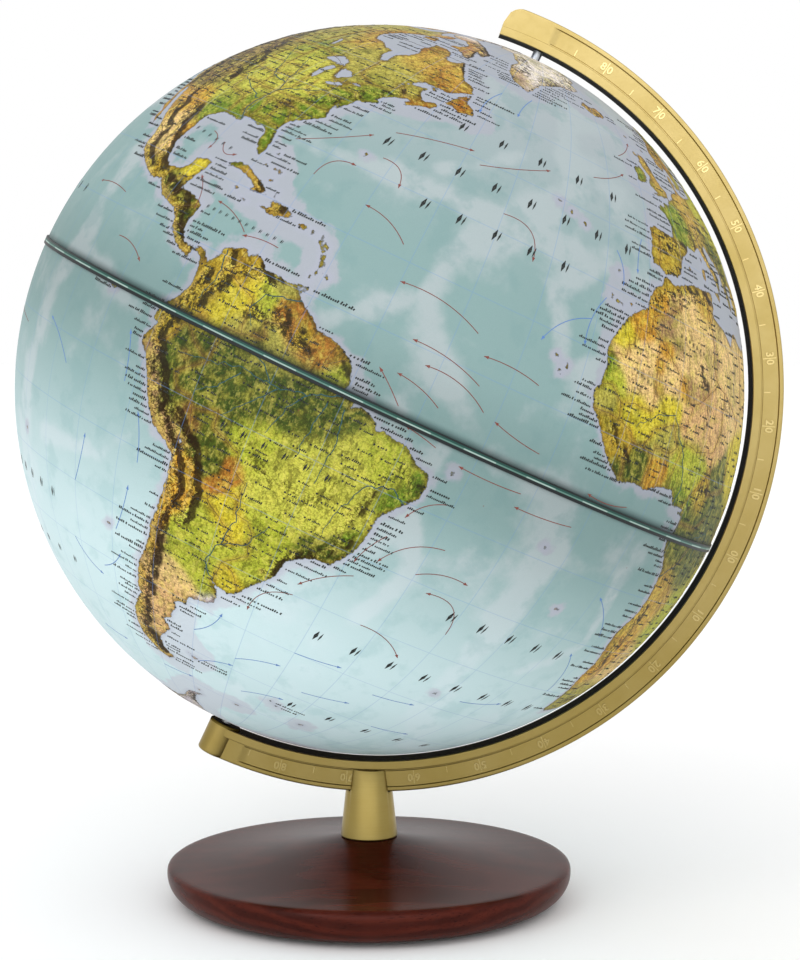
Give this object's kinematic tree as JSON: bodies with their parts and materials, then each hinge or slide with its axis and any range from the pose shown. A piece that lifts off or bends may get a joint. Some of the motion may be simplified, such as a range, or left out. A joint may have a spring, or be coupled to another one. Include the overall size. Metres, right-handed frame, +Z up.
{
  "type": "desktop globe on stand",
  "caption": "Ball with a printed relief map, turning on a tilted axis in a brass-coloured T-section half meridian on a tapered neck and a round wooden base.",
  "frame": {"origin": "centre of the felt pad's underside, where the base rests on the table", "axes": "+Z up, +X towards the side where the meridian passes, +Y away from the viewer; the meridian lies in the XZ plane and the north pole leans 25 degrees from +Z to +X"},
  "size_m": [0.3169, 0.3014, 0.3694],
  "materials": {
    "wood": "semi-gloss lacquer",
    "felt": "napped",
    "brass": "satin, lacquered",
    "steel": "zinc plated",
    "map_print": "printed and varnished",
    "band": "gloss",
    "moulding": "as moulded",
    "dowel": "plain"
  },
  "bodies": {
    "stand": {"base": "wood", "base_felt_pad": "felt", "tie_bolt": "steel", "tie_washer": "steel", "tie_lock_washer": "steel", "neck_locating_pin": "steel", "neck": "brass", "meridian_arc": "brass", "north_pivot_pin": "steel", "barrel_plug": "brass", "pivot_spring": "steel"},
    "ball": {"northern_hemisphere": "map_print", "southern_hemisphere": "map_print", "equator_band": "band", "seam_ring": "moulding", "axle_dowel": "dowel", "north_hub": "moulding", "south_hub": "moulding", "north_pivot_cup": "brass", "south_pivot_cup": "brass"},
    "south_plunger": {"south_pivot_pin": "steel"}
  },
  "joints": [
    {"name": "ball_spin", "type": "hinge", "parent": "stand", "child": "ball", "pos_m": [0.0047, 0, 0.213], "axis": [0.4226, 0, 0.9063], "continuous": true},
    {"name": "south_pivot_press", "type": "slide", "parent": "stand", "child": "south_plunger", "axis": [-0.4226, 0, -0.9063], "range_m": [0, 0.0026], "stiffness_N_per_m": 250, "springref_m": -0.003, "deforming": ["pivot_spring"]}
  ]
}
